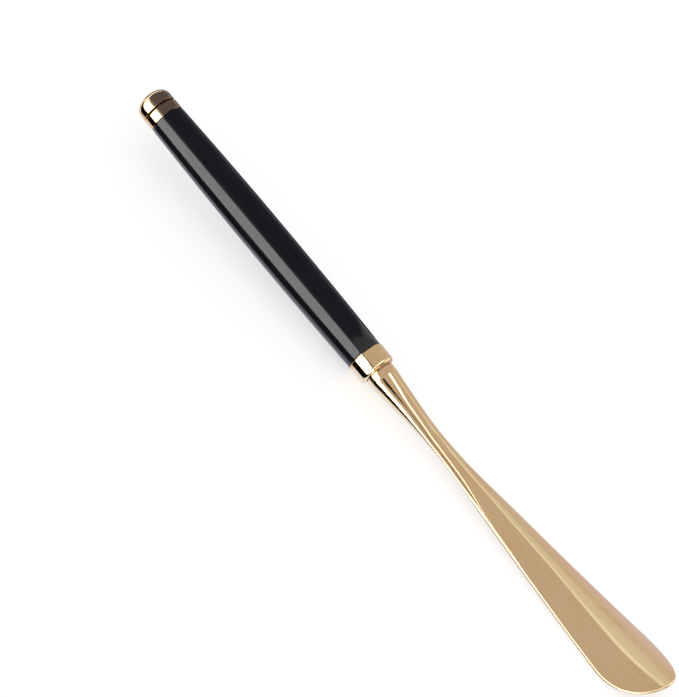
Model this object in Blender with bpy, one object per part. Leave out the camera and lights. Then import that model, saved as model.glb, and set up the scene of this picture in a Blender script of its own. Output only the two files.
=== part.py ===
"""Long shoehorn: a gilt cast blade screwed to a black lacquered turned handle.

Metres, +Z up.  The shoehorn is designed along its own axis: X runs from the handle (-X) to the
blade's tip (+X), and X = 0 is the ferrule's lower face, where the blade's neck is drawn up against
it.  The hollow side of the blade looks down (-Z) and its rounded back looks up.  The whole
assembly hangs under one empty, which lays it on the floor: the grip and the blade's two side rims
touch Z = 0, and the origin is below the middle of its length.
"""
import math

import bmesh
import bpy

MM = 0.001
CLEARANCE = 0.3 * MM             # gap kept between neighbouring pieces

# Blade and neck
BLADE_LENGTH = 202.2 * MM        # ferrule's lower face to the blade's tip
COLLAR_RADIUS = 7.5 * MM         # round collar that meets the ferrule
COLLAR_LENGTH = 4.4 * MM
COLLAR_EDGE = 0.2 * MM           # chamfer on the collar's end
COLLAR_RIM = 1.0 * MM            # rim of the collar that hides the washer
WAIST_HALF = 4.9 * MM            # half width of the neck where it is narrowest
WAIST_AT = 42.4 * MM             # where it is narrowest
OVAL_BY = 72.0 * MM              # where the neck has thinned down to the plate's thickness
RIMS_FROM = 30.0 * MM            # where the oval neck starts to turn into a plate with round rims
FLARE_FROM = 54.4 * MM           # where the straight sides of the flare meet the waist
FLARE_RATE = 0.1140              # half width gained for each metre of length
FLARE_SOFTNESS = 0.5 * MM        # how gently the waist turns into the flare
PLATE_HALF = 1.35 * MM           # half the thickness of the blade's plate
PLATE_FROM = 92.0 * MM           # where it is all plate
SCOOP_FROM = 39.8 * MM           # where the hollow begins and the rims start to rise
SCOOP_DEPTH = 11.15 * MM         # how far the sides reach below the back's crown at the tip
SCOOP_GROWTH = 1.1               # above 1, the hollow starts gently
RIDGE_SOFTNESS = 0.5             # small gives a sharp ridge along the back, large a round one
RIM_RISE = 4.5 * MM              # how far the side rims have risen above the neck's axis at the tip
RIM_GROWTH = 2.6                 # above 1, they stay level for long and then rise
TIP_LENGTH = 27.6 * MM           # length of the rounded end of the blade

# Ferrule, and the washer under it
FERRULE_RADIUS = 9.6 * MM
FERRULE_LENGTH = 10.5 * MM
FERRULE_WALL = 1.1 * MM
FERRULE_FLOOR = 1.8 * MM         # end wall that the neck is drawn up against
FERRULE_LIP = 2.0 * MM           # rounded corner at the lower end
WASHER_THICKNESS = 0.5 * MM

# Threaded rod that joins the blade to the handle, and its insert
TANG_RADIUS = 3.0 * MM
TANG_IN_NECK = 15.0 * MM
TANG_IN_HANDLE = 31.0 * MM
INSERT_WALL = 1.6 * MM
INSERT_LENGTH = 22.0 * MM
INSERT_SUNK = 1.2 * MM           # how deep an insert sits below the wood's end
BORE_RUN_OUT = 3.0 * MM          # free depth of a bore beyond the rod's end

# Handle
HANDLE_LENGTH = 152.3 * MM       # black wood that shows between ferrule and end collar
HANDLE_FOOT_STEP = 0.25 * MM     # the wood is this much slimmer in radius than the ferrule
HANDLE_SWELL_RADIUS = 10.1 * MM  # thickest part of the grip
HANDLE_SWELL_AT = 75.0 * MM      # thickest part, measured from the ferrule
HANDLE_HEAD_RADIUS = 9.0 * MM    # at the end collar
HANDLE_EDGE = 0.4 * MM           # rounding of the wood's shoulders

# End collar and end cap, with the stud that holds the cap
END_COLLAR_LENGTH = 5.0 * MM
END_COLLAR_WALL = 1.1 * MM
END_WASHER_THICKNESS = 0.6 * MM
END_CAP_LENGTH = 8.0 * MM
END_CAP_CORNER = 5.0 * MM        # radius between the cap's side and its flat end
STUD_RADIUS = 2.5 * MM
STUD_IN_CAP = 4.6 * MM
STUD_IN_HANDLE = 13.0 * MM
UPPER_INSERT_LENGTH = 12.0 * MM

# How finely the pieces are divided
AROUND = 32                      # steps round a large turned piece
AROUND_SMALL = 20                # steps round a hidden one
SECTION_POINTS = 16              # points across each face of a blade section
SMOOTH_ANGLE = math.radians(35)

# Places along the axis that several pieces share
RECESS_FLOOR = 2 * CLEARANCE + WASHER_THICKNESS
HANDLE_FOOT = -FERRULE_LENGTH - CLEARANCE
TENON_END = -FERRULE_FLOOR - CLEARANCE
HANDLE_HEAD = HANDLE_FOOT - HANDLE_LENGTH
END_COLLAR_TOP = HANDLE_HEAD - CLEARANCE - END_COLLAR_LENGTH
HEAD_TENON_END = END_COLLAR_TOP
END_CAP_SEAT = END_COLLAR_TOP - 2 * CLEARANCE - END_WASHER_THICKNESS
END_CAP_TOP = END_CAP_SEAT - END_CAP_LENGTH

# Radii that follow from a neighbour and a clearance
RECESS_RADIUS = COLLAR_RADIUS - COLLAR_RIM
WASHER_RADIUS = RECESS_RADIUS - CLEARANCE
HANDLE_FOOT_RADIUS = FERRULE_RADIUS - HANDLE_FOOT_STEP
TENON_RADIUS = FERRULE_RADIUS - FERRULE_WALL - CLEARANCE
HEAD_TENON_RADIUS = HANDLE_HEAD_RADIUS - END_COLLAR_WALL - CLEARANCE
TANG_BORE = TANG_RADIUS + CLEARANCE
STUD_BORE = STUD_RADIUS + CLEARANCE
INSERT_RADIUS = TANG_BORE + INSERT_WALL
UPPER_INSERT_RADIUS = STUD_BORE + INSERT_WALL
INSERT_BORE = INSERT_RADIUS + CLEARANCE
UPPER_INSERT_BORE = UPPER_INSERT_RADIUS + CLEARANCE


def clear_scene():
    for old in list(bpy.data.objects):
        bpy.data.objects.remove(old, do_unlink=True)


def material(name, colour, roughness, metallic):
    made = bpy.data.materials.new(name)
    made.use_nodes = True
    shader = made.node_tree.nodes["Principled BSDF"]
    shader.inputs["Base Color"].default_value = (*colour, 1.0)
    shader.inputs["Roughness"].default_value = roughness
    shader.inputs["Metallic"].default_value = metallic
    return made


def finish_piece(name, bm, finish, parent):
    """Turn a bmesh into a named object with outward faces and one material."""
    bmesh.ops.remove_doubles(bm, verts=bm.verts, dist=1e-7)
    bmesh.ops.recalc_face_normals(bm, faces=bm.faces)
    mesh = bpy.data.meshes.new(name)
    bm.to_mesh(mesh)
    bm.free()
    mesh.shade_smooth()
    mesh.set_sharp_from_angle(angle=SMOOTH_ANGLE)
    mesh.materials.append(finish)
    piece = bpy.data.objects.new(name, mesh)
    bpy.context.scene.collection.objects.link(piece)
    piece.parent = parent
    return piece


def turned(name, profile, steps, finish, parent, closed=False):
    """Spin a profile of (x, radius) points about the X axis; a closed profile makes a ring."""
    bm = bmesh.new()
    points = [bm.verts.new((x, 0.0, radius)) for x, radius in profile]
    pairs = list(zip(points, points[1:]))
    if closed:
        pairs.append((points[-1], points[0]))
    lines = [bm.edges.new(pair) for pair in pairs]
    bmesh.ops.spin(bm, geom=points + lines, cent=(0, 0, 0), axis=(1, 0, 0), dvec=(0, 0, 0),
                   angle=math.tau, steps=steps, use_merge=True)
    return finish_piece(name, bm, finish, parent)


def corner(x, radius, size, start, end, steps=4):
    """Points of a rounded corner about a centre at (x, radius); angles run from +X to outward."""
    angles = [math.radians(start + (end - start) * i / steps) for i in range(steps + 1)]
    return [(x + size * math.cos(a), radius + size * math.sin(a)) for a in angles]


def ease(value, low, high):
    """0 below low, 1 above high, and a smooth step between."""
    t = min(1.0, max(0.0, (value - low) / (high - low)))
    return t * t * (3.0 - 2.0 * t)


# ---------------------------------------------------------------- blade

def taper(x, end):
    """1 up to the collar's end, then a cubic fall that ends level at 0."""
    t = min(1.0, max(0.0, (x - COLLAR_LENGTH) / (end - COLLAR_LENGTH)))
    return 1.0 - 1.5 * t + 0.5 * t ** 3


def full_half_width(x):
    """Half width before the tip is rounded off: the neck, softly joined to straight flared sides."""
    neck = WAIST_HALF + (COLLAR_RADIUS - WAIST_HALF) * taper(x, WAIST_AT)
    sides = WAIST_HALF + FLARE_RATE * (x - FLARE_FROM)
    return (sides + neck) / 2 + math.hypot((sides - neck) / 2, FLARE_SOFTNESS)


def full_half_thickness(x):
    """Half thickness before the tip's end is rounded: the neck thins down to the plate."""
    return PLATE_HALF + (COLLAR_RADIUS - PLATE_HALF) * taper(x, OVAL_BY)


def middle_height(x, y):
    """Height of the plate's middle surface: the rims' rise, and the back arched over it."""
    reach = max(0.0, (x - SCOOP_FROM) / (BLADE_LENGTH - SCOOP_FROM))
    across = y / full_half_width(x)
    bend = math.hypot(across, RIDGE_SOFTNESS) - RIDGE_SOFTNESS
    bend = bend / (math.hypot(1.0, RIDGE_SOFTNESS) - RIDGE_SOFTNESS)
    return RIM_RISE * reach ** RIM_GROWTH + SCOOP_DEPTH * reach ** SCOOP_GROWTH * (1.0 - bend)


def blade_section(x):
    """One closed section: an oval neck that flattens and bends into a plate with round rims."""
    into_tip = max(0.0, (x - BLADE_LENGTH + TIP_LENGTH) / TIP_LENGTH)
    half_width = full_half_width(x) * math.sqrt(max(0.0, 1.0 - into_tip ** 2))
    flat = ease(x, RIMS_FROM, PLATE_FROM)
    half_thickness = full_half_thickness(x)
    to_end = (BLADE_LENGTH - x) / PLATE_HALF
    if to_end < 1.0:
        half_thickness *= math.sqrt(max(0.0, 1.0 - (1.0 - to_end) ** 2))
    rim = half_width * (1.0 - flat) + min(half_width, PLATE_HALF) * flat
    points = []
    for i in range(2 * SECTION_POINTS):
        angle = math.pi * i / SECTION_POINTS
        y = half_width * math.cos(angle)
        into_rim = max(0.0, (abs(y) - (half_width - rim)) / rim)
        offset = half_thickness * math.sqrt(max(0.0, 1.0 - into_rim ** 2))
        if i > SECTION_POINTS:
            offset = -offset
        step = 0.01 * MM
        slope = (middle_height(x, y + step) - middle_height(x, y - step)) / (2 * step)
        length = math.hypot(1.0, slope)
        points.append((x, y - offset * slope / length, middle_height(x, y) + offset / length))
    return points


def circle_section(x, radius):
    angles = [math.pi * i / SECTION_POINTS for i in range(2 * SECTION_POINTS)]
    return [(x, radius * math.cos(a), radius * math.sin(a)) for a in angles]


def blade_stations():
    """Places of the sections: close together on the neck and where the tip rounds off."""
    neck = [COLLAR_LENGTH + (WAIST_AT - COLLAR_LENGTH) * i / 8 for i in range(9)]
    tip_start = BLADE_LENGTH - TIP_LENGTH
    body = [WAIST_AT + (tip_start - WAIST_AT) * i / 14 for i in range(1, 14)]
    turn = [math.radians(84) * i / 9 for i in range(10)]
    tip = [tip_start + TIP_LENGTH * math.sin(a) for a in turn]
    return neck + body + tip


def make_blade(finish, parent):
    """Skin the tang's blind hole, the washer's recess, the neck and the plate in one run."""
    hole_end = TANG_IN_NECK + CLEARANCE
    sections = [
        circle_section(hole_end, TANG_BORE),
        circle_section(RECESS_FLOOR, TANG_BORE),
        circle_section(RECESS_FLOOR, RECESS_RADIUS),
        circle_section(CLEARANCE, RECESS_RADIUS),
        circle_section(CLEARANCE, COLLAR_RADIUS - COLLAR_EDGE),
        circle_section(CLEARANCE + COLLAR_EDGE, COLLAR_RADIUS),
    ]
    sections += [blade_section(x) for x in blade_stations()]
    bm = bmesh.new()
    number = bm.verts.layers.int.new("number")
    ring = bmesh.ops.create_circle(bm, segments=2 * SECTION_POINTS, radius=TANG_BORE)["verts"]
    for i, vert in enumerate(ring):
        vert[number] = i
        vert.co = sections[0][i]
    edges = list(bm.edges)
    bmesh.ops.contextual_create(bm, geom=edges)
    for section in sections[1:]:
        grown = bmesh.ops.extrude_edge_only(bm, edges=edges)["geom"]
        edges = [item for item in grown if isinstance(item, bmesh.types.BMEdge)]
        ring = {vert for edge in edges for vert in edge.verts}
        for vert in ring:
            vert.co = section[vert[number]]
    bmesh.ops.contextual_create(bm, geom=edges)
    return finish_piece("blade", bm, finish, parent)


# ---------------------------------------------------------------- turned pieces

def make_ferrule(finish, parent):
    """A cup over the handle's tenon; the tang passes through its floor."""
    inside = FERRULE_RADIUS - FERRULE_WALL
    profile = [(-FERRULE_LENGTH, inside), (-FERRULE_LENGTH, FERRULE_RADIUS)]
    profile += corner(-FERRULE_LIP, FERRULE_RADIUS - FERRULE_LIP, FERRULE_LIP, 90, 0)
    profile += [(0.0, TANG_BORE), (-FERRULE_FLOOR, TANG_BORE), (-FERRULE_FLOOR, inside)]
    return turned("ferrule", profile, AROUND, finish, parent, closed=True)


def ring_profile(start, end, inner, outer):
    return [(start, inner), (end, inner), (end, outer), (start, outer)]


def make_handle(finish, parent):
    """Turned grip with a tenon and a blind bore at each end."""
    foot_bore_end = -TANG_IN_HANDLE - BORE_RUN_OUT
    head_bore_end = HEAD_TENON_END + STUD_IN_HANDLE + BORE_RUN_OUT
    profile = [(foot_bore_end, 0.0), (foot_bore_end, INSERT_BORE), (TENON_END, INSERT_BORE),
               (TENON_END, TENON_RADIUS), (HANDLE_FOOT, TENON_RADIUS)]
    profile += corner(HANDLE_FOOT - HANDLE_EDGE, HANDLE_FOOT_RADIUS - HANDLE_EDGE, HANDLE_EDGE,
                      0, 90, 2)
    below = 8
    for i in range(1, below + 1):
        left = 1.0 - i / below
        x = HANDLE_FOOT - HANDLE_EDGE - (HANDLE_SWELL_AT - HANDLE_EDGE) * (1.0 - left)
        swell = HANDLE_SWELL_RADIUS - (HANDLE_SWELL_RADIUS - HANDLE_FOOT_RADIUS) * left ** 2
        profile.append((x, swell))
    above = 10
    to_head = HANDLE_LENGTH - HANDLE_SWELL_AT - HANDLE_EDGE
    for i in range(1, above):
        share = i / above
        x = HANDLE_FOOT - HANDLE_SWELL_AT - to_head * share
        swell = HANDLE_SWELL_RADIUS - (HANDLE_SWELL_RADIUS - HANDLE_HEAD_RADIUS) * share ** 2
        profile.append((x, swell))
    profile += corner(HANDLE_HEAD + HANDLE_EDGE, HANDLE_HEAD_RADIUS - HANDLE_EDGE, HANDLE_EDGE,
                      90, 180, 2)
    profile += [(HANDLE_HEAD, HEAD_TENON_RADIUS), (HEAD_TENON_END, HEAD_TENON_RADIUS),
                (HEAD_TENON_END, UPPER_INSERT_BORE), (head_bore_end, UPPER_INSERT_BORE),
                (head_bore_end, 0.0)]
    return turned("handle", profile, AROUND, finish, parent)


def make_rod(name, start, end, radius, finish, parent):
    """A plain rod with chamfered ends, standing for a threaded one."""
    edge = 0.2 * radius
    profile = [(start, 0.0), (start, radius - edge), (start + edge, radius), (end - edge, radius),
               (end, radius - edge), (end, 0.0)]
    return turned(name, profile, AROUND_SMALL, finish, parent)


def make_end_cap(finish, parent):
    """Solid cap with a flat end, a rounded shoulder and a blind hole for its stud."""
    hole_end = END_CAP_SEAT - STUD_IN_CAP - CLEARANCE
    profile = [(hole_end, 0.0), (hole_end, STUD_BORE), (END_CAP_SEAT, STUD_BORE),
               (END_CAP_SEAT, HANDLE_HEAD_RADIUS)]
    profile += corner(END_CAP_TOP + END_CAP_CORNER, HANDLE_HEAD_RADIUS - END_CAP_CORNER,
                      END_CAP_CORNER, 90, 180, 6)
    profile.append((END_CAP_TOP, 0.0))
    return turned("end_cap", profile, AROUND, finish, parent)


# ---------------------------------------------------------------- laying it down

def lay_down(root, pieces):
    """Pitch the assembly until grip and blade touch one level, and set that level at Z = 0."""
    points = [vert.co.copy() for piece in pieces for vert in piece.data.vertices]
    grip_side = [p for p in points if p.x < 0.0]
    blade_side = [p for p in points if p.x >= 0.0]

    def lowest(group, pitch):
        return min(p.z * math.cos(pitch) - p.x * math.sin(pitch) for p in group)

    low, high = 0.0, math.radians(20)
    for _ in range(50):
        pitch = (low + high) / 2
        if lowest(blade_side, pitch) > lowest(grip_side, pitch):
            low = pitch
        else:
            high = pitch
    along = [p.x * math.cos(pitch) + p.z * math.sin(pitch) for p in points]
    root.rotation_euler = (0.0, pitch, 0.0)
    root.location = (-(min(along) + max(along)) / 2, 0.0, -lowest(points, pitch))


def main():
    clear_scene()
    gilt = material("gilt_metal", (0.62, 0.42, 0.22), 0.18, 1.0)
    lacquer = material("black_lacquer", (0.012, 0.011, 0.014), 0.12, 0.0)
    steel = material("zinc_plated_steel", (0.55, 0.56, 0.58), 0.35, 1.0)
    brass = material("plain_brass", (0.60, 0.46, 0.20), 0.35, 1.0)
    fibre = material("dark_fibre", (0.05, 0.035, 0.03), 0.8, 0.0)

    root = bpy.data.objects.new("shoehorn", None)
    bpy.context.scene.collection.objects.link(root)

    insert_start = TENON_END - INSERT_SUNK
    upper_start = HEAD_TENON_END + INSERT_SUNK
    end_inner = HEAD_TENON_RADIUS + CLEARANCE
    end_washer_start = END_CAP_SEAT + CLEARANCE
    pieces = [
        make_blade(gilt, root),
        turned("neck_washer", ring_profile(CLEARANCE, CLEARANCE + WASHER_THICKNESS,
                                           TANG_BORE, WASHER_RADIUS),
               AROUND, fibre, root, closed=True),
        make_ferrule(gilt, root),
        make_rod("tang", -TANG_IN_HANDLE, TANG_IN_NECK, TANG_RADIUS, steel, root),
        turned("lower_insert", ring_profile(insert_start - INSERT_LENGTH, insert_start,
                                            TANG_BORE, INSERT_RADIUS),
               AROUND_SMALL, brass, root, closed=True),
        make_handle(lacquer, root),
        turned("upper_insert", ring_profile(upper_start, upper_start + UPPER_INSERT_LENGTH,
                                            STUD_BORE, UPPER_INSERT_RADIUS),
               AROUND_SMALL, brass, root, closed=True),
        turned("end_collar", ring_profile(END_COLLAR_TOP, HANDLE_HEAD - CLEARANCE,
                                          end_inner, HANDLE_HEAD_RADIUS),
               AROUND, gilt, root, closed=True),
        turned("end_washer", ring_profile(end_washer_start, end_washer_start + END_WASHER_THICKNESS,
                                          STUD_BORE, HEAD_TENON_RADIUS),
               AROUND, fibre, root, closed=True),
        make_rod("end_stud", END_CAP_SEAT - STUD_IN_CAP, HEAD_TENON_END + STUD_IN_HANDLE,
                 STUD_RADIUS, steel, root),
        make_end_cap(gilt, root),
    ]
    lay_down(root, pieces)


main()
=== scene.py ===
# %% [markdown]
# # A long shoehorn
# A gilt blade, cast in one piece with its neck, is screwed to a turned handle in black lacquer.
# The mechanical model comes in as a fixed frame of plain solids. This lesson replaces every solid
# with a finer piece of the same size and gives each finish its own small network of nodes.

# %% Load the frame
import math

import bmesh
import bpy
from mathutils import Matrix, Vector


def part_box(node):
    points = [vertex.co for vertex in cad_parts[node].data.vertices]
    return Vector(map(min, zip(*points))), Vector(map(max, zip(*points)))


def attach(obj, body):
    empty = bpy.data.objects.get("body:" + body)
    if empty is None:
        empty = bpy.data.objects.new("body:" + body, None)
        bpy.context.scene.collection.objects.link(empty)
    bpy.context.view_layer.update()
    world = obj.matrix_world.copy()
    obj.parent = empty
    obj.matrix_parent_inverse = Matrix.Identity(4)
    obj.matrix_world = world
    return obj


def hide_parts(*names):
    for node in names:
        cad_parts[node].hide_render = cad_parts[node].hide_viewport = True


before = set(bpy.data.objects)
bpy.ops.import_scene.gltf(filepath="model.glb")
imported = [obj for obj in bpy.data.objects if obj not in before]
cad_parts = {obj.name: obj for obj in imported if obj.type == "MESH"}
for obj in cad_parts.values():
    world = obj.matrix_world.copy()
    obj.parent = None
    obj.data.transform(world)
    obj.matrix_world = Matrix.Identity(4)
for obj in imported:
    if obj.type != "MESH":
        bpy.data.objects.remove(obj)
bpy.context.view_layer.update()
MM = 0.001
print("nodes in the frame:", ", ".join(sorted(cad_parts)))

# %% [markdown]
# ## The shoehorn's own axis
# The shoehorn lies on the floor slightly nose down, so nothing in it is parallel to the floor.
# It is far easier to model along its own straight axis and to lay each finished piece down at the
# end. Two round washers sit square on that axis, so the line through the middles of their boxes is
# the axis itself. X is 0 at the ferrule's lower face, and +X runs to the blade's tip.

# %% Find the axis
CLEARANCE = 0.3 * MM
WASHER_THICKNESS = 0.5 * MM


def middle(node):
    low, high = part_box(node)
    return (Vector(low) + Vector(high)) / 2


axis = (middle("neck_washer") - middle("end_washer")).normalized()
seat = middle("neck_washer") - axis * (CLEARANCE + WASHER_THICKNESS / 2)
pitch = math.atan2(-axis.z, axis.x)
LAY_DOWN = Matrix.Translation(seat) @ Matrix.Rotation(pitch, 4, "Y")
TO_AXIS = LAY_DOWN.inverted()
print(f"nose down by {math.degrees(pitch):.2f} degrees, ferrule's face at {seat.x * 1000:.1f} mm")

# %% [markdown]
# ## The camera
# A long lens from about a metre and a half keeps the shoehorn's sides nearly parallel. The camera
# looks down on the blade's rounded back from one side, a little from the tip's end, and it is
# rolled so that the shoehorn runs from the upper left to the lower right. A camera is easiest to
# aim by three directions: along the shoehorn in the picture, across it, and towards the lens.

# %% Aim the camera
SIDE_TURN = math.radians(42)       # round the shoehorn's axis, from straight above
TIP_TURN = math.radians(11.6)      # towards the tip
PICTURE_SLOPE = math.radians(49.03)  # how steeply the shoehorn runs down in the picture
PICTURE_TWIST = math.radians(1.18)
CAMERA_DISTANCE = 1500 * MM
LENS = 162.7                       # with a sensor 36 mm along the picture's longer side
AIM_ALONG = -20.9 * MM             # picture's middle, measured from the ferrule's face
AIM_ACROSS = -6.6 * MM


def aim_camera():
    """Place the camera by the shoehorn's own axis and return the camera object."""
    side, tip = SIDE_TURN, TIP_TURN
    toward = Vector((math.sin(tip), -math.sin(side) * math.cos(tip), math.cos(side) * math.cos(tip)))
    across = Vector((0.0, math.cos(side), math.sin(side)))
    along = across.cross(toward)
    twist = Matrix.Rotation(PICTURE_TWIST, 3, toward)
    along, across = twist @ along, twist @ across
    right = along * math.cos(PICTURE_SLOPE) + across * math.sin(PICTURE_SLOPE)
    up = across * math.cos(PICTURE_SLOPE) - along * math.sin(PICTURE_SLOPE)
    place = toward * CAMERA_DISTANCE + along * AIM_ALONG + across * AIM_ACROSS
    turn = Matrix((right, up, toward)).transposed().to_4x4()
    data = bpy.data.cameras.new("camera")
    data.lens = LENS
    data.sensor_width = 36.0
    data.clip_start = 0.05
    camera = bpy.data.objects.new("camera", data)
    bpy.context.scene.collection.objects.link(camera)
    camera.matrix_world = LAY_DOWN @ Matrix.Translation(place) @ turn
    bpy.context.scene.camera = camera
    return camera


camera = aim_camera()
print("camera at", [round(v, 3) for v in camera.matrix_world.translation])

# %% [markdown]
# ## Shader maths in plain Python
# A finish is a network of nodes, and most of it is arithmetic on masks. Writing that arithmetic as
# Python expressions keeps it readable. `Value` wraps one socket and turns +, - and * into Math
# nodes, also with the number on the left, so `1 - mask` works. `Network` adds any other node with
# one method: its type, then its settings, then the values or links of its sockets.

# %% Values and networks
class Value:
    """A socket in a network that can be used in arithmetic."""

    def __init__(self, network, socket):
        self.network = network
        self.socket = socket

    def math(self, operation, first, second=0.0):
        return self.network.node("ShaderNodeMath", {"operation": operation}, {0: first, 1: second})

    def __add__(self, other):
        return self.math("ADD", self, other)

    def __sub__(self, other):
        return self.math("SUBTRACT", self, other)

    def __rsub__(self, other):
        return self.math("SUBTRACT", other, self)

    def __mul__(self, other):
        return self.math("MULTIPLY", self, other)

    __radd__ = __add__
    __rmul__ = __mul__


class Network:
    """The nodes of one material or world."""

    def __init__(self, owner):
        owner.use_nodes = True
        self.tree = owner.node_tree

    def node(self, kind, settings=None, values=None, output=0):
        made = self.tree.nodes.new(kind)
        for name, setting in (settings or {}).items():
            setattr(made, name, setting)
        for name, value in (values or {}).items():
            self.put(made.inputs[name], value)
        return Value(self, made.outputs[output])

    def put(self, socket, value):
        if isinstance(value, Value):
            self.tree.links.new(value.socket, socket)
        else:
            socket.default_value = value

    def smooth(self, value, low, high):
        """0 below low, 1 above high, with a smooth step between; low may exceed high."""
        return self.node("ShaderNodeMapRange", {"interpolation_type": "SMOOTHSTEP"},
                         {"Value": value, "From Min": low, "From Max": high})

    def blend(self, share, first, second):
        """Mix two colours by a share between 0 and 1."""
        return self.node("ShaderNodeMix", {"data_type": "RGBA"},
                         {"Factor": share, 6: first, 7: second}, output=2)


def along_axis(network, stretch=(1, 1, 1)):
    """Object coordinates turned to the shoehorn's axis, in millimetres, then stretched."""
    place = network.node("ShaderNodeTexCoord", output=3)
    turned = network.node("ShaderNodeMapping", {"vector_type": "POINT"},
                          {"Vector": place, "Rotation": (0.0, -pitch, 0.0),
                           "Location": TO_AXIS.translation})
    return network.node("ShaderNodeMapping", {"vector_type": "POINT"},
                        {"Vector": turned, "Scale": [s / MM for s in stretch]})


def noise(network, place, scale=1.0, detail=3.0, rough=0.55):
    """Soft noise, with its middle near 0.5."""
    return network.node("ShaderNodeTexNoise", {},
                        {"Vector": place, "Scale": scale, "Detail": detail, "Roughness": rough})


print("arithmetic on sockets: +, - and *, with a smooth step and a blend of colours")

# %% [markdown]
# ## Gilt metal
# The blade, ferrule, collar and cap are bright gold plating over cast and turned metal. Plating is
# buffed to a mirror, yet it is never perfect: the wheel leaves fine lines in the direction it ran,
# fingers leave faint smudges that blur the reflections, and the gold is thinner and paler on worn
# edges. The blade is buffed along its length, the turned pieces round their axis, so the same
# network takes the direction of its lines as a setting. Colour, roughness and a very shallow bump
# all follow the same few patterns, because on real metal one scratch changes all three.

# %% Gilt
GOLD = (0.90, 0.61, 0.335, 1.0)
GOLD_PALE = (0.93, 0.67, 0.41, 1.0)
GOLD_DEEP = (0.85, 0.55, 0.285, 1.0)


def gilt(name, lines, line_depth, blur):
    """Polished gold plating; lines is the stretch of the buffing marks along X, Y and Z."""
    material = bpy.data.materials.new(name)
    network = Network(material)
    shader = network.tree.nodes["Principled BSDF"]
    buffing = noise(network, along_axis(network, lines), detail=5.0, rough=0.65)
    coarse = noise(network, along_axis(network, [s * 0.3 for s in lines]), detail=2.0)
    smudges = noise(network, along_axis(network, (0.06, 0.09, 0.09)), detail=4.0, rough=0.6)
    fingers = network.smooth(smudges, 0.52, 0.72)
    clouds = noise(network, along_axis(network, (0.018, 0.05, 0.05)), detail=2.0)
    pits = network.node("ShaderNodeTexVoronoi", {"feature": "F1"},
                        {"Vector": along_axis(network), "Scale": 0.55, "Randomness": 1.0})
    specks = network.smooth(pits, 0.09, 0.03)
    wear = network.node("ShaderNodeAttribute", {"attribute_name": "edge"}, output=2)
    worn = network.smooth(wear + (smudges - 0.5) * 0.3, 0.55, 1.0)
    tint = network.blend(network.smooth(clouds, 0.3, 0.7), GOLD_DEEP, GOLD)
    tint = network.blend(network.smooth(buffing, 0.4, 0.65) * 0.6, tint, GOLD_PALE)
    tint = network.blend(worn * 0.6, tint, GOLD_PALE)
    network.put(shader.inputs["Base Color"], tint)
    gloss = blur + (buffing - 0.5) * 0.16 + fingers * 0.07 + specks * 0.1 + worn * 0.05
    network.put(shader.inputs["Roughness"], network.node(
        "ShaderNodeClamp", {}, {"Value": gloss, "Min": 0.03, "Max": 0.5}))
    relief = buffing * 0.6 + coarse * 0.6 - specks * 0.7
    network.put(shader.inputs["Normal"], network.node(
        "ShaderNodeBump", {}, {"Height": relief, "Strength": 0.4, "Distance": line_depth}))
    network.put(shader.inputs["Metallic"], 1.0 - worn * 0.02)
    return material


gilt_blade = gilt("gilt_metal_blade", (0.04, 1.9, 1.9), 0.011 * MM, 0.08)
gilt_turned = gilt("gilt_metal_turned", (3.0, 0.12, 0.12), 0.004 * MM, 0.06)
print("two gilt finishes:", gilt_blade.name, "and", gilt_turned.name)

# %% [markdown]
# ## Black lacquer
# The grip is turned hardwood under many thin coats of black lacquer. The wood's grain shows only as
# a faint lengthwise waviness under the gloss, the hand leaves soft smudges where it holds, and dust
# that settled in the last coat stands as tiny nibs. A clear coat over a near black base gives the
# sharp reflection on top and the softer one below.

# %% Lacquer
def lacquer(name):
    """Black lacquer over turned wood."""
    material = bpy.data.materials.new(name)
    network = Network(material)
    shader = network.tree.nodes["Principled BSDF"]
    grain = noise(network, along_axis(network, (0.04, 1.1, 1.1)), detail=5.0, rough=0.6)
    hand = noise(network, along_axis(network, (0.05, 0.08, 0.08)), detail=4.0)
    held = network.smooth(hand, 0.48, 0.72)
    nibs = network.smooth(network.node(
        "ShaderNodeTexVoronoi", {"feature": "F1"},
        {"Vector": along_axis(network), "Scale": 0.28, "Randomness": 1.0}), 0.07, 0.02)
    scuffs = network.smooth(noise(network, along_axis(network, (1.6, 0.5, 0.1)), detail=6.0,
                                  rough=0.75), 0.66, 0.74)
    wear = network.node("ShaderNodeAttribute", {"attribute_name": "edge"}, output=2)
    tint = network.blend(network.smooth(grain, 0.3, 0.7), (0.0040, 0.0036, 0.0055, 1.0),
                         (0.0085, 0.0072, 0.0095, 1.0))
    tint = network.blend(held * 0.3, tint, (0.009, 0.008, 0.010, 1.0))
    tint = network.blend(wear * 0.5, tint, (0.035, 0.028, 0.024, 1.0))
    network.put(shader.inputs["Base Color"], tint)
    network.put(shader.inputs["Roughness"], 0.09 + grain * 0.08 + held * 0.05 + scuffs * 0.15)
    network.put(shader.inputs["Normal"], network.node(
        "ShaderNodeBump", {}, {"Height": grain * 0.5 + nibs * 0.8, "Strength": 0.35,
                               "Distance": 0.012 * MM}))
    network.put(shader.inputs["Coat Weight"], 0.4 - held * 0.05 - scuffs * 0.2)
    shader.inputs["Specular IOR Level"].default_value = 0.35
    shader.inputs["Coat Roughness"].default_value = 0.05
    shader.inputs["Coat IOR"].default_value = 1.5
    return material


black_lacquer = lacquer("black_lacquer")
print("lacquer finish:", black_lacquer.name)

# %% [markdown]
# ## Hidden metals and fibre
# The rod and the stud are zinc plated steel, dull silver with a blotchy passivated sheen. The
# threaded inserts are plain brass straight from the lathe, with close turning lines and brown
# tarnish in the knurl. The two washers are hard dark fibre, matt and flecked. They never show in
# use, yet a workshop drawing taken apart on screen should find them finished too.

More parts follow.
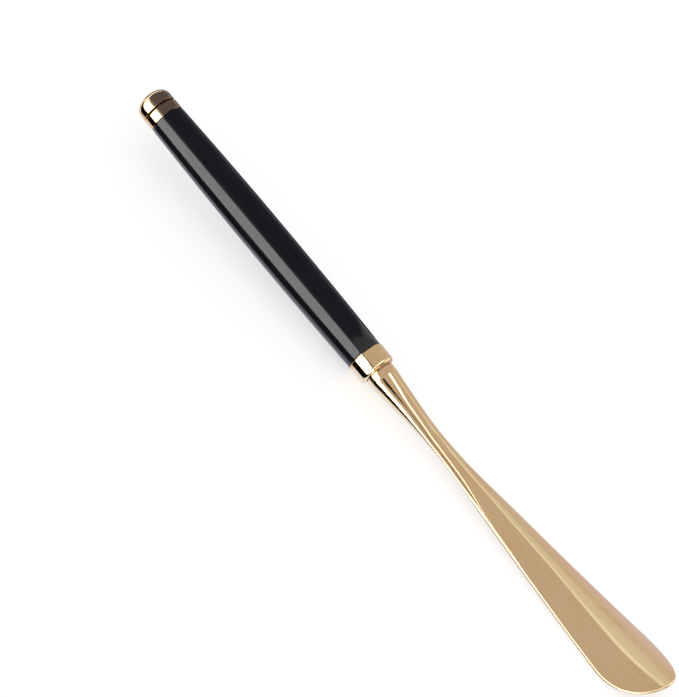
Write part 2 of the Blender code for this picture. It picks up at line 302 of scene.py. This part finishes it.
# %% Steel, brass and fibre
def workshop_metal(name, base, stain, roughness, lines):
    """Plain machined metal with turning lines and blotches of stain."""
    material = bpy.data.materials.new(name)
    network = Network(material)
    shader = network.tree.nodes["Principled BSDF"]
    turning = noise(network, along_axis(network, lines), detail=3.0, rough=0.6)
    blotches = network.smooth(noise(network, along_axis(network, (0.3, 0.3, 0.3)), detail=5.0),
                              0.42, 0.68)
    network.put(shader.inputs["Base Color"], network.blend(blotches * 0.7, base, stain))
    network.put(shader.inputs["Roughness"], roughness + turning * 0.15 + blotches * 0.12)
    network.put(shader.inputs["Normal"], network.node(
        "ShaderNodeBump", {}, {"Height": turning, "Strength": 0.5, "Distance": 0.01 * MM}))
    shader.inputs["Metallic"].default_value = 1.0
    return material


def fibre(name):
    """Hard dark fibre board, matt and flecked."""
    material = bpy.data.materials.new(name)
    network = Network(material)
    shader = network.tree.nodes["Principled BSDF"]
    threads = noise(network, along_axis(network, (6.0, 1.5, 4.0)), detail=6.0, rough=0.7)
    network.put(shader.inputs["Base Color"], network.blend(
        network.smooth(threads, 0.4, 0.65), (0.03, 0.02, 0.016, 1.0), (0.085, 0.06, 0.045, 1.0)))
    network.put(shader.inputs["Roughness"], 0.7 + threads * 0.2)
    network.put(shader.inputs["Normal"], network.node(
        "ShaderNodeBump", {}, {"Height": threads, "Strength": 0.6, "Distance": 0.03 * MM}))
    return material


zinc_steel = workshop_metal("zinc_plated_steel", (0.60, 0.61, 0.63, 1.0), (0.46, 0.48, 0.50, 1.0),
                            0.26, (2.0, 0.4, 0.4))
plain_brass = workshop_metal("plain_brass", (0.68, 0.50, 0.22, 1.0), (0.42, 0.28, 0.12, 1.0),
                             0.24, (4.0, 0.2, 0.2))
dark_fibre = fibre("dark_fibre")
print("workshop finishes:", zinc_steel.name, plain_brass.name, dark_fibre.name)

# %% [markdown]
# ## From a bmesh to a finished piece
# Every piece is shaped along the straight axis first. `finish_piece` then merges doubled vertices,
# turns the faces outwards, marks how sharp each corner is in an attribute called edge, which the
# finishes use for wear, lays the mesh down and makes the object that stands for its plain solid.

# %% Finish a piece
SHARP_ANGLE = math.radians(32)


def finish_piece(name, bm, finish):
    """Make the detailed piece for one node of the frame."""
    bmesh.ops.remove_doubles(bm, verts=bm.verts, dist=0.0005 * MM)
    bmesh.ops.recalc_face_normals(bm, faces=bm.faces)
    edge = bm.verts.layers.float.new("edge")
    for vert in bm.verts:
        turns = [e.calc_face_angle(0.0) for e in vert.link_edges]
        vert[edge] = min(1.0, max(turns, default=0.0) / math.radians(45))
    bmesh.ops.transform(bm, matrix=LAY_DOWN, verts=bm.verts)
    mesh = bpy.data.meshes.new(name)
    bm.to_mesh(mesh)
    bm.free()
    mesh.shade_smooth()
    mesh.set_sharp_from_angle(angle=SHARP_ANGLE)
    mesh.materials.append(finish)
    piece = bpy.data.objects.new(name + "_fine", mesh)
    bpy.context.scene.collection.objects.link(piece)
    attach(piece, "root")
    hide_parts(name)
    print(f"{piece.name}: {len(mesh.polygons)} faces")
    return piece


# %% [markdown]
# ## Turned pieces
# On the lathe a piece is its profile, and in Blender it is the same: a line of points is spun round
# the axis. Corners that a turner would break with a file are written as short arcs, because a
# rounded corner catches a line of light that a sharp one can't.

# %% Spin a profile
AROUND = 128


def turned(profile, steps=AROUND, closed=True):
    """Spin a profile of (x, radius) in millimetres about the axis; closed makes a ring."""
    bm = bmesh.new()
    points = [bm.verts.new((x * MM, 0.0, radius * MM)) for x, radius in profile]
    pairs = list(zip(points, points[1:]))
    if closed:
        pairs.append((points[-1], points[0]))
    lines = [bm.edges.new(pair) for pair in pairs]
    bmesh.ops.spin(bm, geom=points + lines, cent=(0, 0, 0), axis=(1, 0, 0), dvec=(0, 0, 0),
                   angle=math.tau, steps=steps, use_merge=True)
    return bm


def corner(x, radius, size, start, end, steps=6):
    """Points of a round corner about (x, radius); angles run from +X to outwards, in degrees."""
    angles = [math.radians(start + (end - start) * i / steps) for i in range(steps + 1)]
    return [(x + size * math.cos(a), radius + size * math.sin(a)) for a in angles]


def soft_ring(start, end, inner, outer, size):
    """Profile of a ring whose four corners are rounded."""
    return (corner(end - size, outer - size, size, 0, 90) + corner(start + size, outer - size,
            size, 90, 180) + corner(start + size, inner + size, size, 180, 270)
            + corner(end - size, inner + size, size, 270, 360))


# %% [markdown]
# ## The ferrule
# The ferrule is a short cup pressed over the handle's tenon. It hides the joint between wood and
# metal and keeps the wood from splitting. Its lower corner is a full quarter round, its upper edge
# is rounded just enough to catch a line of light, and its floor has the hole for the threaded rod.

# %% Ferrule
FERRULE_RADIUS, FERRULE_LENGTH, FERRULE_WALL, FERRULE_FLOOR, FERRULE_LIP = 9.6, 10.5, 1.1, 1.8, 2.0
FERRULE_EDGE = 0.45               # the round edge that meets the grip
BREAK = 0.3                       # what a file takes off a hidden corner
TANG_BORE = 3.3
inside = FERRULE_RADIUS - FERRULE_WALL
profile = [(-FERRULE_LENGTH, inside), (-FERRULE_LENGTH, FERRULE_RADIUS - FERRULE_EDGE - 0.03)]
profile += corner(-FERRULE_LENGTH + FERRULE_EDGE, FERRULE_RADIUS - FERRULE_EDGE, FERRULE_EDGE,
                  175, 90, 8)
profile += [(-FERRULE_LENGTH + FERRULE_EDGE + 0.2, FERRULE_RADIUS),
            (-FERRULE_LIP - 0.25, FERRULE_RADIUS)]
profile += corner(-FERRULE_LIP, FERRULE_RADIUS - FERRULE_LIP, FERRULE_LIP, 90, 4, 20)
profile += [(0.0, FERRULE_RADIUS - FERRULE_LIP - 0.15), (0.0, TANG_BORE + BREAK),
            (-BREAK, TANG_BORE), (-FERRULE_FLOOR, TANG_BORE), (-FERRULE_FLOOR, inside - BREAK),
            (-FERRULE_FLOOR - BREAK, inside)]
finish_piece("ferrule", turned(profile), gilt_turned)

# %% [markdown]
# ## The handle
# The grip swells very slightly towards the palm and narrows again at the top. A tenon at each end
# goes inside the ferrule and the end collar, and a blind bore in each tenon takes a glued insert.
# The swell is one smooth curve, so the profile takes many close points along it.

# %% Handle
GAP = CLEARANCE / MM
HANDLE_FOOT = -FERRULE_LENGTH - GAP
HANDLE_LENGTH, FOOT_RADIUS, SWELL_RADIUS, SWELL_AT, HEAD_RADIUS = 152.3, 9.35, 10.1, 75.0, 9.0
HANDLE_HEAD = HANDLE_FOOT - HANDLE_LENGTH
TENON_RADIUS = FERRULE_RADIUS - FERRULE_WALL - GAP
END_COLLAR_LENGTH, END_COLLAR_WALL = 5.0, 1.1
HEAD_TENON_RADIUS = HEAD_RADIUS - END_COLLAR_WALL - GAP
HEAD_TENON_END = HANDLE_HEAD - GAP - END_COLLAR_LENGTH
INSERT_BORE, UPPER_INSERT_BORE = 5.2, 4.7
LOWER_BORE_END, LOWER_TENON_END = -34.0, -2.1
EDGE = 0.4
profile = [(LOWER_BORE_END, 0.0), (LOWER_BORE_END, INSERT_BORE), (LOWER_TENON_END - EDGE, INSERT_BORE),
           (LOWER_TENON_END, INSERT_BORE + EDGE), (LOWER_TENON_END, TENON_RADIUS - BREAK),
           (LOWER_TENON_END - BREAK, TENON_RADIUS), (HANDLE_FOOT, TENON_RADIUS)]
profile += corner(HANDLE_FOOT - EDGE, FOOT_RADIUS - EDGE, EDGE, 0, 90)
steps = 60
for i in range(1, steps):
    run = EDGE + (HANDLE_LENGTH - 2 * EDGE) * i / steps
    if run < SWELL_AT:
        radius = SWELL_RADIUS - (SWELL_RADIUS - FOOT_RADIUS) * (1 - run / SWELL_AT) ** 2
    else:
        share = (run - SWELL_AT) / (HANDLE_LENGTH - SWELL_AT)
        radius = SWELL_RADIUS - (SWELL_RADIUS - HEAD_RADIUS) * share ** 2
    profile.append((HANDLE_FOOT - run, radius))
profile += corner(HANDLE_HEAD + EDGE, HEAD_RADIUS - EDGE, EDGE, 90, 180)
UPPER_BORE_DEPTH = 16.0
head_bore_end = HEAD_TENON_END + UPPER_BORE_DEPTH
profile += [(HANDLE_HEAD, HEAD_TENON_RADIUS), (HEAD_TENON_END + BREAK, HEAD_TENON_RADIUS),
            (HEAD_TENON_END, HEAD_TENON_RADIUS - BREAK), (HEAD_TENON_END, UPPER_INSERT_BORE),
            (head_bore_end, UPPER_INSERT_BORE), (head_bore_end, 0.0)]
finish_piece("handle", turned(profile, closed=False), black_lacquer)

# %% [markdown]
# ## End collar and end cap
# At the top of the grip a plain gilt ring covers the joint, and a solid cap closes the end. The cap
# has a broad round shoulder and a flat top, and a blind hole below for the stud that holds it.

# %% End collar, end cap and the two washers
collar_inner = HEAD_TENON_RADIUS + GAP
TURNED_CORNER, WASHER_CORNER = 0.25, 0.1
ring = soft_ring(HEAD_TENON_END, HANDLE_HEAD - GAP, collar_inner, HEAD_RADIUS, TURNED_CORNER)
finish_piece("end_collar", turned(ring), gilt_turned)

END_WASHER_THICKNESS, STUD_BORE = 0.6, 2.8
CAP_SEAT = HEAD_TENON_END - 2 * GAP - END_WASHER_THICKNESS
CAP_LENGTH, CAP_CORNER, CAP_HOLE_DEPTH = 8.0, 5.0, 4.9
CAP_TOP = CAP_SEAT - CAP_LENGTH
hole_end = CAP_SEAT - CAP_HOLE_DEPTH
profile = [(hole_end, 0.0), (hole_end, STUD_BORE), (CAP_SEAT - BREAK, STUD_BORE),
           (CAP_SEAT, STUD_BORE + BREAK)]
profile += corner(CAP_SEAT - TURNED_CORNER, HEAD_RADIUS - TURNED_CORNER, TURNED_CORNER, 0, 90, 5)
profile += [(CAP_SEAT - 0.6, HEAD_RADIUS)]
profile += corner(CAP_TOP + CAP_CORNER, HEAD_RADIUS - CAP_CORNER, CAP_CORNER, 90, 180, 24)
profile += [(CAP_TOP, 2.0), (CAP_TOP, 0.0)]
finish_piece("end_cap", turned(profile, closed=False), gilt_turned)

washer_start = CAP_SEAT + GAP
washer = soft_ring(washer_start, washer_start + END_WASHER_THICKNESS, STUD_BORE, HEAD_TENON_RADIUS,
                   WASHER_CORNER)
finish_piece("end_washer", turned(washer, 96), dark_fibre)
COLLAR_RADIUS, COLLAR_RIM = 7.5, 1.0
RECESS_RADIUS = COLLAR_RADIUS - COLLAR_RIM
thickness = WASHER_THICKNESS / MM
washer = soft_ring(GAP, GAP + thickness, TANG_BORE, RECESS_RADIUS - GAP, WASHER_CORNER)
finish_piece("neck_washer", turned(washer, 96), dark_fibre)

# %% [markdown]
# ## Threaded rods
# A screw thread is a profile that climbs while it turns. Spin does exactly that when it is given a
# small step along the axis for every step round it. One tooth, exactly one pitch long, is spun far
# past both ends, the turns meet along their roots, and two cuts and two caps leave a solid rod.

# %% Threads
PITCH, THREAD_DEPTH, ROD_CHAMFER = 1.0, 0.54, 0.7
PER_TURN = 28
TANG_START, TANG_END, TANG_RADIUS = -31.0, 15.0, 3.0
STUD_IN_CAP, STUD_IN_HANDLE, STUD_RADIUS = 4.6, 13.0, 2.5


def threaded_rod(start, end, radius):
    """A rod with a real helical thread between start and end, in millimetres."""
    depth = THREAD_DEPTH * PITCH
    bm = bmesh.new()
    tooth = [(0.0, -depth), (0.06, -depth), (0.44, 0.0), (0.56, 0.0), (0.94, -depth), (1.0, -depth)]
    first = start - 2 * PITCH
    points = [bm.verts.new(((first + x * PITCH) * MM, 0.0, (radius + lift) * MM)) for x, lift in tooth]
    lines = [bm.edges.new(pair) for pair in zip(points, points[1:])]
    turns = math.ceil((end - start) / PITCH) + 3
    bmesh.ops.spin(bm, geom=points + lines, cent=(0, 0, 0), axis=(1, 0, 0),
                   dvec=(PITCH * MM / PER_TURN, 0, 0), angle=math.tau * turns,
                   steps=PER_TURN * turns, use_merge=False)
    bmesh.ops.remove_doubles(bm, verts=bm.verts, dist=0.002 * MM)
    for x, side in ((start, -1), (end, 1)):
        cut = bmesh.ops.bisect_plane(bm, geom=bm.verts[:] + bm.edges[:] + bm.faces[:],
                                     dist=0.0001 * MM, plane_co=(x * MM, 0, 0),
                                     plane_no=(side, 0, 0), clear_outer=True)
        rim = [item for item in cut["geom_cut"] if isinstance(item, bmesh.types.BMEdge)]
        bmesh.ops.contextual_create(bm, geom=rim)
    for vert in bm.verts:
        reach = min(vert.co.x / MM - start, end - vert.co.x / MM)
        allowed = (radius - ROD_CHAMFER + max(0.0, reach)) * MM
        across = math.hypot(vert.co.y, vert.co.z)
        if across > allowed:
            vert.co.y *= allowed / across
            vert.co.z *= allowed / across
    return bm


finish_piece("tang", threaded_rod(TANG_START, TANG_END, TANG_RADIUS), zinc_steel)
finish_piece("end_stud", threaded_rod(CAP_SEAT - STUD_IN_CAP, HEAD_TENON_END + STUD_IN_HANDLE,
                                      STUD_RADIUS), zinc_steel)

# %% [markdown]
# ## Knurled inserts
# Wood can't hold a fine thread for long, so a brass tube with a knurled outside is glued into each
# bore. The knurl is rolled in: fine ridges along the tube that bite into the glue. Alternate
# columns of the spun ring are pushed in, and two plain bands are left where the tube was parted.

# %% Inserts
INSERT_LENGTH, INSERT_SUNK, INSERT_RADIUS = 22.0, 1.2, 4.9
UPPER_INSERT_LENGTH, UPPER_INSERT_RADIUS = 12.0, 4.4
TEETH, TOOTH_DEPTH = 44, 0.28
GROOVE_FROM_END, GROOVE_HALF, GROOVE_DEPTH, MOUTH = 1.2, 0.3, 0.35, 0.25


def knurled_insert(start, end, bore, radius):
    """A tube with a knurled outside and a parting groove near each end."""
    profile = [(end, bore + MOUTH), (end, radius - BREAK), (end - BREAK, radius)]
    for groove in (end - GROOVE_FROM_END, start + GROOVE_FROM_END):
        profile += [(groove + GROOVE_HALF, radius), (groove, radius - GROOVE_DEPTH),
                    (groove - GROOVE_HALF, radius)]
    profile += [(start + BREAK, radius), (start, radius - BREAK), (start, bore + MOUTH),
                (start + MOUTH, bore), (end - MOUTH, bore)]
    bm = turned(profile, 2 * TEETH)
    for vert in bm.verts:
        across = math.hypot(vert.co.y, vert.co.z) / MM
        column = round(math.atan2(vert.co.y, vert.co.z) / math.tau * 2 * TEETH)
        if column % 2 and across > radius - 0.01:
            vert.co.y *= 1 - TOOTH_DEPTH / across
            vert.co.z *= 1 - TOOTH_DEPTH / across
    return bm


lower_end = LOWER_TENON_END - INSERT_SUNK
finish_piece("lower_insert", knurled_insert(lower_end - INSERT_LENGTH, lower_end, TANG_BORE,
                                            INSERT_RADIUS), plain_brass)
upper_start = HEAD_TENON_END + INSERT_SUNK
finish_piece("upper_insert", knurled_insert(upper_start, upper_start + UPPER_INSERT_LENGTH, STUD_BORE,
                                            UPPER_INSERT_RADIUS), plain_brass)

# %% [markdown]
# ## The blade
# Neck and blade are one casting. The neck starts as a round collar against the ferrule, becomes a
# slim oval and then flattens into a plate that bends over a soft ridge along its back, so that the
# hollow side fits a heel. Its section changes all the way, which is a job for a loft: one ring of
# vertices is extruded again and again, and every new ring takes the shape of the section there.

# %% Blade sections
BLADE_LENGTH, COLLAR_LENGTH, COLLAR_EDGE = 202.2, 4.4, 0.2
WAIST_HALF, WAIST_AT, OVAL_BY, RIMS_FROM, PLATE_HALF, PLATE_FROM = 4.9, 42.4, 72.0, 30.0, 1.35, 92.0
FLARE_FROM, FLARE_RATE, FLARE_SOFTNESS = 54.4, 0.1140, 0.5
SCOOP_FROM, SCOOP_DEPTH, SCOOP_GROWTH, RIDGE_SOFTNESS = 39.8, 11.15, 1.1, 0.5
RIM_RISE, RIM_GROWTH, TIP_LENGTH = 4.5, 2.6, 27.6
COLLAR_FACE = 0.18                # the collar sits all but tight on the ferrule
TANG_HOLE_END, HOLE_MOUTH = 15.3, 0.4
SECTION_POINTS = 56


def taper(x, end):
    """1 up to the collar's end, then a cubic fall that ends level at 0."""
    t = min(1.0, max(0.0, (x - COLLAR_LENGTH) / (end - COLLAR_LENGTH)))
    return 1.0 - 1.5 * t + 0.5 * t ** 3


def full_half_width(x):
    neck = WAIST_HALF + (COLLAR_RADIUS - WAIST_HALF) * taper(x, WAIST_AT)
    sides = WAIST_HALF + FLARE_RATE * (x - FLARE_FROM)
    return (sides + neck) / 2 + math.hypot((sides - neck) / 2, FLARE_SOFTNESS)


def middle_height(x, y):
    """Height of the plate's middle surface: the rims' rise, and the back arched over it."""
    reach = max(0.0, (x - SCOOP_FROM) / (BLADE_LENGTH - SCOOP_FROM))
    bend = math.hypot(y / full_half_width(x), RIDGE_SOFTNESS) - RIDGE_SOFTNESS
    bend = bend / (math.hypot(1.0, RIDGE_SOFTNESS) - RIDGE_SOFTNESS)
    return RIM_RISE * reach ** RIM_GROWTH + SCOOP_DEPTH * reach ** SCOOP_GROWTH * (1.0 - bend)


def to_outline(y, width, into_tip):
    """Distance inwards from the round tip's outline, which is a quarter oval on each side."""
    inside = 1.0 - (y / width) ** 2 - into_tip ** 2
    steepness = math.hypot(2.0 * y / width ** 2, 2.0 * into_tip / TIP_LENGTH)
    return max(0.0, inside) / steepness


def blade_section(x):
    """One closed section: an oval neck that flattens and bends into a plate with round rims."""
    into_tip = max(0.0, (x - BLADE_LENGTH + TIP_LENGTH) / TIP_LENGTH)
    half_width = full_half_width(x) * math.sqrt(max(0.0, 1.0 - into_tip ** 2))
    share = min(1.0, max(0.0, (x - RIMS_FROM) / (PLATE_FROM - RIMS_FROM)))
    flat = share * share * (3.0 - 2.0 * share)
    half_thickness = PLATE_HALF + (COLLAR_RADIUS - PLATE_HALF) * taper(x, OVAL_BY)
    rim = half_width * (1.0 - flat) + min(half_width, PLATE_HALF) * flat
    points = []
    for i in range(2 * SECTION_POINTS):
        angle = math.pi * i / SECTION_POINTS
        y = half_width * math.cos(angle)
        into_rim = max(0.0, (abs(y) - (half_width - rim)) / rim)
        if into_tip > 0.0:
            into_rim = 1.0 - min(1.0, to_outline(y, full_half_width(x), into_tip) / PLATE_HALF)
        offset = half_thickness * math.sqrt(max(0.0, 1.0 - into_rim ** 2))
        if i > SECTION_POINTS:
            offset = -offset
        slope = (middle_height(x, y + 0.01) - middle_height(x, y - 0.01)) / 0.02
        length = math.hypot(1.0, slope)
        points.append(Vector((x, y - offset * slope / length,
                              middle_height(x, y) + offset / length)) * MM)
    return points


def circle_section(x, radius):
    angles = [math.pi * i / SECTION_POINTS for i in range(2 * SECTION_POINTS)]
    return [Vector((x, radius * math.cos(a), radius * math.sin(a))) * MM for a in angles]


# %% Loft the blade
def blade_stations():
    """Places of the sections, in millimetres, closest where the shape turns fastest."""
    neck = [COLLAR_LENGTH + (WAIST_AT - COLLAR_LENGTH) * (i / 30) ** 1.3 for i in range(31)]
    tip_start = BLADE_LENGTH - TIP_LENGTH
    body = [WAIST_AT + (tip_start - WAIST_AT) * i / 70 for i in range(1, 70)]
    tip = [tip_start + TIP_LENGTH * math.sin(math.radians(87.5) * i / 40) for i in range(41)]
    return neck + body + tip


def make_blade():
    recess_floor = 2 * GAP + thickness
    sections = [circle_section(TANG_HOLE_END, TANG_BORE),
                circle_section(recess_floor + HOLE_MOUTH, TANG_BORE),
                circle_section(recess_floor, TANG_BORE + HOLE_MOUTH),
                circle_section(recess_floor, RECESS_RADIUS),
                circle_section(COLLAR_FACE, RECESS_RADIUS),
                circle_section(COLLAR_FACE, COLLAR_RADIUS - COLLAR_EDGE),
                circle_section(COLLAR_FACE + 0.06, COLLAR_RADIUS - 0.06),
                circle_section(COLLAR_FACE + COLLAR_EDGE, COLLAR_RADIUS)]
    sections += [circle_section(x, COLLAR_RADIUS) for x in (1.5, 2.5, 3.5)]
    sections += [blade_section(x) for x in blade_stations()]
    bm = bmesh.new()
    number = bm.verts.layers.int.new("number")
    ring = bmesh.ops.create_circle(bm, segments=2 * SECTION_POINTS, radius=TANG_BORE * MM)["verts"]
    for i, vert in enumerate(ring):
        vert[number] = i
        vert.co = sections[0][i]
    edges = list(bm.edges)
    bmesh.ops.contextual_create(bm, geom=edges)
    for section in sections[1:]:
        grown = bmesh.ops.extrude_edge_only(bm, edges=edges)["geom"]
        edges = [item for item in grown if isinstance(item, bmesh.types.BMEdge)]
        for vert in {vert for edge in edges for vert in edge.verts}:
            vert.co = section[vert[number]]
    bmesh.ops.contextual_create(bm, geom=edges)
    return bm


blade = finish_piece("blade", make_blade(), gilt_blade)

# %% [markdown]
# ## The floor
# A plain pale floor that is larger than anything the camera can see. It gives off part of its own
# light, which keeps the shadows on it faint.

# %% Floor
def stage_material(name, colour, light=None):
    """Matt plain colour, with a glow of its own if light is given."""
    material = bpy.data.materials.new(name)
    network = Network(material)
    shader = network.tree.nodes["Principled BSDF"]
    shader.inputs["Base Color"].default_value = (*colour, 1.0)
    shader.inputs["Roughness"].default_value = 0.9
    shader.inputs["Specular IOR Level"].default_value = 0.0
    if light:
        shader.inputs["Emission Color"].default_value = (*light, 1.0)
        shader.inputs["Emission Strength"].default_value = 1.0
    return material


bm = bmesh.new()
bmesh.ops.create_grid(bm, x_segments=8, y_segments=8, size=6.0)
mesh = bpy.data.meshes.new("floor")
bm.to_mesh(mesh)
bm.free()
mesh.materials.append(stage_material("pale_floor", (0.4, 0.4, 0.4), (0.62, 0.62, 0.62)))
floor = bpy.data.objects.new("floor", mesh)
bpy.context.scene.collection.objects.link(floor)
print("floor laid")

# %% [markdown]
# ## Cards that only the metal sees
# A product photographer puts white and black cards close to polished metal. The white ones draw
# long highlights, and the black ones draw the dark lines that give a bright round shape its form.
# Each card here is a strip between two lines of points, in millimetres: along the shoehorn from
# the ferrule's face, across it, and up from the floor. Cards are seen by reflections only, so they
# neither light the floor nor stand in the picture. Some lie just above the floor and take its
# place for the metal, cool and bright on the near side and calm on the far side.

# %% Cards
def card(name, left, right, colour, light=None):
    """A strip between two lines of points of equal number, in millimetres."""
    bm = bmesh.new()
    pairs = [[bm.verts.new(Vector(point) * MM) for point in pair] for pair in zip(left, right)]
    for (first, second), (third, fourth) in zip(pairs, pairs[1:]):
        bm.faces.new((first, second, fourth, third))
    bmesh.ops.translate(bm, verts=bm.verts, vec=Vector((seat.x, 0, 0)))
    mesh = bpy.data.meshes.new(name)
    bm.to_mesh(mesh)
    bm.free()
    mesh.materials.append(stage_material(name, colour, light))
    made = bpy.data.objects.new(name, mesh)
    bpy.context.scene.collection.objects.link(made)
    for seen_by in ("camera", "diffuse", "shadow", "transmission", "volume_scatter"):
        setattr(made, "visible_" + seen_by, False)
    print(f"{name}: {len(pairs) - 1} panels")
    return made


WHITE = (1.0, 1.0, 1.0)
BLACK = (0.002, 0.002, 0.002)
SHADE = (0.1, 0.1, 0.14)
ON_FLOOR, FAR = 0.15, 3000
near = -62.0
before = near + 1                # just in front of the white side card
card("white_side_card",
     [(x, near, -0.5) for x in (-260, -17, 6, 33, 60, 110, 140, 240)],
     [(-260, near, 63), (-17, near, 63), (6, near, 24), (33, near, 26), (60, near, 50),
      (110, near, 28), (140, near, 16), (240, near, 16)],
     WHITE, (3.2, 3.2, 3.2))
card("black_line_card", [(-260, near, 63), (-10, near, 63)], [(-260, near, 73), (-10, near, 73)],
     BLACK)
card("handle_shade_card", [(-400, -60, 78), (-400, 20, 78), (-400, 600, 78)],
     [(-26, -60, 78), (-22, 20, 78), (-135, 600, 78)], SHADE)
card("black_wedge_card",
     [(11, before, 58), (13, before, 47), (22, before, 58), (30, before, 76), (45, before, 92)],
     [(11.5, before, 66), (13.5, before, 84), (23, before, 90), (30, before, 94),
      (45, before, 98)],
     BLACK)
card("white_streak_card",
     [(10.0, 13, 70), (11, 5, 70), (18, 1, 70), (27, -12, 70), (45, -8.5, 70), (54, -11, 70),
      (62, -27, 70), (70, -41, 70), (78, -55, 70), (95, -59, 60)],
     [(10.4, 16, 70), (12, 20, 70), (19, 14, 70), (29, -3, 70), (46, -2.5, 70), (55, -6, 70),
      (64, -22, 70), (72, -36, 70), (81, -50, 70), (97, -56, 60)],
     WHITE, (3.0, 3.0, 3.0))
card("black_thread_card",
     [(24, -52, 69), (33, -42, 69), (45, -29, 69), (54, -27, 69), (62, -42, 69), (70, -56, 69)],
     [(26, -46, 69), (35, -37, 69), (46, -24, 69), (55, -22, 69), (64, -37, 69), (72, -52, 69)],
     BLACK)
card("pale_floor_card", [(-260, 3, ON_FLOOR), (-11, 3, ON_FLOOR)],
     [(-260, -61.5, ON_FLOOR), (-11, -61.5, ON_FLOOR)],
     BLACK, (0.8, 0.84, 0.9))
card("cool_floor_card", [(-11, 3, ON_FLOOR), (240, 3, ON_FLOOR)],
     [(-11, -61.5, ON_FLOOR), (240, -61.5, ON_FLOOR)],
     BLACK, (0.92, 1.1, 1.5))
card("dark_floor_card", [(-400, 12, ON_FLOOR), (-16, 12, ON_FLOOR)],
     [(-1500, FAR, ON_FLOOR), (-620, FAR, ON_FLOOR)],
     SHADE)
card("calm_floor_card",
     [(-16, 12, ON_FLOOR), (0, 12, ON_FLOOR), (60, 10, ON_FLOOR), (200, 22, ON_FLOOR), (400, 22, ON_FLOOR)],
     [(-620, FAR, ON_FLOOR), (-300, FAR, ON_FLOOR), (0, FAR, ON_FLOOR), (300, FAR, ON_FLOOR),
      (600, FAR, ON_FLOOR)],
     BLACK, (0.66, 0.62, 0.64))
card("black_floor_card",
     [(-260, -16, 1.0), (0, -16, 1.0), (20, -14, 0.9), (47, -12, 0.7), (80, -10.5, 0.5),
      (150, -17.8, 0.3), (190, -21, 0.3)],
     [(-260, -60, 1.0), (0, -60, 1.0), (20, -45, 0.9), (47, -26, 0.7), (80, -17, 0.5),
      (150, -23, 0.3), (190, -26, 0.3)],
     BLACK)

# %% [markdown]
# ## The ceiling panel
# A large pale panel hangs over the far half of the blade. Its near edge is the brightest part and
# swings away towards the neck, so it draws one long line beside the ridge that starts as a hair and
# grows towards the tip. From that edge the panel fades outwards into the room's own tone.

# %% Ceiling panel
PANEL_HEIGHT = 150.0
PANEL_DEPTH = 420.0
panel_edge = [(14, 175), (24, 155), (40, 130), (60, 90), (76, 73), (96, 50), (117, 17), (140, -5),
              (151, -1), (158, 9), (165, 24), (200, 42)]


def panel_material():
    """Glow that is brightest along the panel's near edge and fades inwards."""
    material = bpy.data.materials.new("ceiling_panel")
    network = Network(material)
    shader = network.tree.nodes["Principled BSDF"]
    shader.inputs["Base Color"].default_value = (0.0, 0.0, 0.0, 1.0)
    shader.inputs["Specular IOR Level"].default_value = 0.0
    shader.inputs["Emission Strength"].default_value = 1.0
    inward = network.node("ShaderNodeAttribute", {"attribute_name": "inward"}, output=2)
    glow = network.blend(network.smooth(inward, 0.05, 0.8), (0.72, 0.80, 0.82, 1.0),
                         (0.62, 0.63, 0.63, 1.0))
    glow = network.blend(network.smooth(inward, 0.035, 0.075), (0.90, 1.07, 1.16, 1.0), glow)
    network.put(shader.inputs["Emission Color"], glow)
    return material


panel = card("ceiling_panel", [(x, y, PANEL_HEIGHT) for x, y in panel_edge],
             [(x, y + PANEL_DEPTH, PANEL_HEIGHT) for x, y in panel_edge], BLACK)
inward = panel.data.attributes.new("inward", "FLOAT", "POINT")
for i, point in enumerate(inward.data):
    point.value = float(i % 2)    # the near edge's points come first in each pair
panel.data.materials[0] = panel_material()

# %% [markdown]
# ## The room
# The room round the table is a function of direction, measured in the shoehorn's own angles: round
# its axis from the side the camera is on, and along it from square across. A calm middle tone fills
# it. It is bright beyond both ends, where the small round edges of the ferrule look, and a dark gap
# in the bright part beyond the tip draws a fine dark ring on the ferrule's lip. What lights the matt
# floor is a plain even white, as from a tent.

# %% Room
TONE = 0.57                       # what the metal sees of the room
EVEN = 1.02                       # what the matt surfaces get of it
COOL = (0.86, 1.02, 1.10, 1)      # colour of its bright parts


def degrees_round(network, direction):
    """A direction as degrees round the shoehorn's axis and degrees along it."""
    turn = LAY_DOWN.to_3x3()
    side = SIDE_TURN
    toward = turn @ Vector((0, -math.sin(side), math.cos(side)))
    below = turn @ Vector((0, -math.cos(side), -math.sin(side)))

    def dot(vector):
        return network.node("ShaderNodeVectorMath", {"operation": "DOT_PRODUCT"},
                            {0: direction, 1: vector}, output=1)

    round_axis = network.node("ShaderNodeMath", {"operation": "ARCTAN2"},
                              {0: dot(below), 1: dot(toward)})
    along = network.node("ShaderNodeMath", {"operation": "ARCSINE"},
                         {0: dot(turn @ Vector((1, 0, 0)))})
    return round_axis * math.degrees(1), along * math.degrees(1)


def make_room():
    """Fill the world with the room."""
    world = bpy.data.worlds.new("studio")
    bpy.context.scene.world = world
    network = Network(world)
    direction = network.node("ShaderNodeTexCoord")
    around, along = degrees_round(network, direction)
    smooth = network.smooth
    level = TONE + smooth(around, -60.0, -150.0) * 0.06
    wall = smooth(along, 7.0, 11.0) + smooth(along, -38.0, -42.0)
    level = level + wall * 0.9
    gap = smooth(along, 48.0, 52.0) * smooth(along, 76.0, 72.0)
    level = level * (1 - gap * 0.95)
    path = network.node("ShaderNodeLightPath", output=3)
    cool = smooth(level, 0.58, 1.0) * path
    level = level * path + EVEN * (1 - path)
    background = network.tree.nodes["Background"]
    network.put(background.inputs["Color"],
                network.blend(cool, (1, 1, 1, 1), COOL))
    network.put(background.inputs["Strength"], level)
    print("room made of", len(network.tree.nodes), "nodes")


make_room()
bpy.context.scene.view_settings.view_transform = "Standard"
